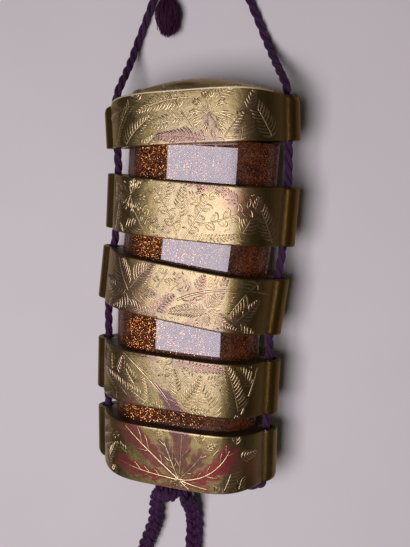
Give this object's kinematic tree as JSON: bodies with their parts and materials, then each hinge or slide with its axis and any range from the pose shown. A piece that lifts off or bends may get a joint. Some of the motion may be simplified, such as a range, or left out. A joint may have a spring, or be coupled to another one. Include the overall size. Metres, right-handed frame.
{
  "type": "inro case",
  "caption": "Stacked lacquer inro case with a domed lid and nested trays, drawn apart on a twisted silk cord, lying on its back.",
  "frame": {"origin": "on the surface that the backs of the sections rest on, under the middle of the case and the cord that it holds", "axes": "+X across the width, +Y up the stack towards the lid, +Z out of the painted front face"},
  "size_m": [0.0594, 0.2191, 0.0246],
  "materials": {
    "gold_lacquer": "polished gold lacquer over a thin wooden core, with sprinkled orange-gold lacquer on the risers",
    "purple_silk": "twisted and plaited dark purple silk cord"
  },
  "bodies": {
    "root": {"lid": "gold_lacquer", "case_1": "gold_lacquer", "case_2": "gold_lacquer", "case_3": "gold_lacquer", "case_4": "gold_lacquer", "lacing_cord": "purple_silk", "hanging_cord": "purple_silk", "cord_knot": "purple_silk", "cord_tassel": "purple_silk", "loop_knot": "purple_silk", "chain_loop": "purple_silk"}
  },
  "joints": []
}
